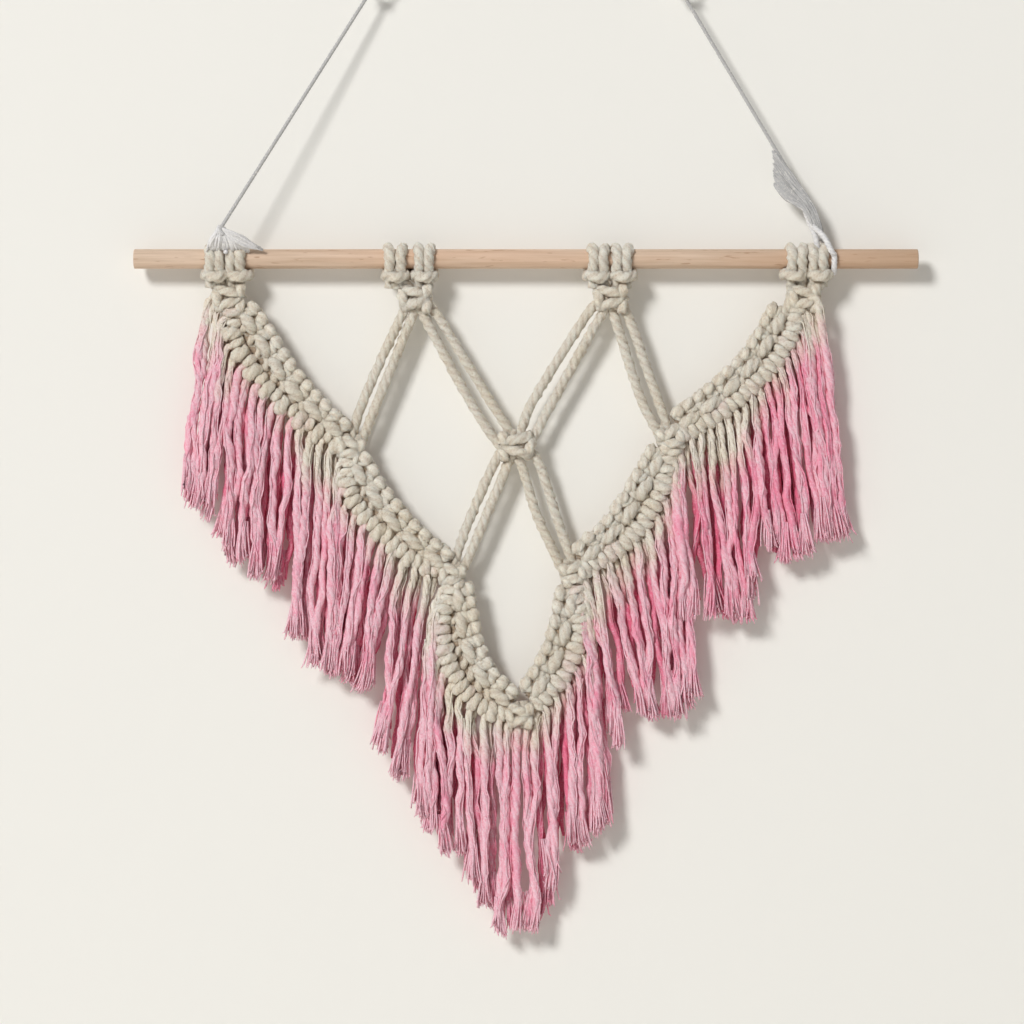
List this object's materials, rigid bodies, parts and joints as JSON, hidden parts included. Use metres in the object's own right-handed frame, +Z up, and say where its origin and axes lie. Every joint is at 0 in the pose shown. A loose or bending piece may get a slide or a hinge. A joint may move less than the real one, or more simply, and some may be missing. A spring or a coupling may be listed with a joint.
{
  "type": "macrame wall hanging on a dowel",
  "caption": "macrame wall hanging of knotted cotton cord on a wooden dowel, with scalloped bands, an open net and a dip-dyed fringe that tapers to a point",
  "frame": {"origin": "midway between the two hanging loops at the top of the twine, where the hanging is held up", "axes": "+X along the dowel to the viewer's right, +Y back toward the wall, +Z up; the knotted front faces -Y"},
  "size_m": [0.4, 0.0263, 0.5011],
  "materials": {
    "beech": "smooth sanded beech, unvarnished",
    "cotton_cord": "natural cream 3-ply cotton cord, matte",
    "dyed_fringe": "dip-dyed pink cotton cord, matte",
    "hanging_twine": "off-white twine, matte"
  },
  "bodies": {
    "root": {"dowel": "beech", "lark_head_1a": "cotton_cord", "lark_head_1b": "cotton_cord", "lark_head_2a": "cotton_cord", "lark_head_2b": "cotton_cord", "lark_head_3a": "cotton_cord", "lark_head_3b": "cotton_cord", "lark_head_4a": "cotton_cord", "lark_head_4b": "cotton_cord", "head_knot_1": "cotton_cord", "head_knot_2": "cotton_cord", "head_knot_3": "cotton_cord", "head_knot_4": "cotton_cord", "net_upper_left_a": "cotton_cord", "net_upper_left_b": "cotton_cord", "net_middle_left_a": "cotton_cord", "net_middle_left_b": "cotton_cord", "net_middle_right_a": "cotton_cord", "net_middle_right_b": "cotton_cord", "net_upper_right_a": "cotton_cord", "net_upper_right_b": "cotton_cord", "net_lower_left_a": "cotton_cord", "net_lower_left_b": "cotton_cord", "net_lower_right_a": "cotton_cord", "net_lower_right_b": "cotton_cord", "knot_centre": "cotton_cord", "knot_left_upper": "cotton_cord", "knot_left_lower": "cotton_cord", "knot_bottom": "cotton_cord", "knot_right_lower": "cotton_cord", "knot_right_upper": "cotton_cord", "band_left_1_outer": "cotton_cord", "band_left_1_inner": "cotton_cord", "band_left_2_outer": "cotton_cord", "band_left_2_inner": "cotton_cord", "band_left_3_outer": "cotton_cord", "band_left_3_inner": "cotton_cord", "band_right_1_outer": "cotton_cord", "band_right_1_inner": "cotton_cord", "band_right_2_outer": "cotton_cord", "band_right_2_inner": "cotton_cord", "band_right_3_outer": "cotton_cord", "band_right_3_inner": "cotton_cord", "fringe_left_1": "dyed_fringe", "fringe_left_2": "dyed_fringe", "fringe_left_3": "dyed_fringe", "fringe_right_3": "dyed_fringe", "fringe_right_2": "dyed_fringe", "fringe_right_1": "dyed_fringe", "twine_tie_left": "hanging_twine", "twine_tie_right": "hanging_twine", "twine_leg_left": "hanging_twine", "twine_leg_right": "hanging_twine", "twine_loop_left": "hanging_twine", "twine_loop_right": "hanging_twine"}
  },
  "joints": []
}
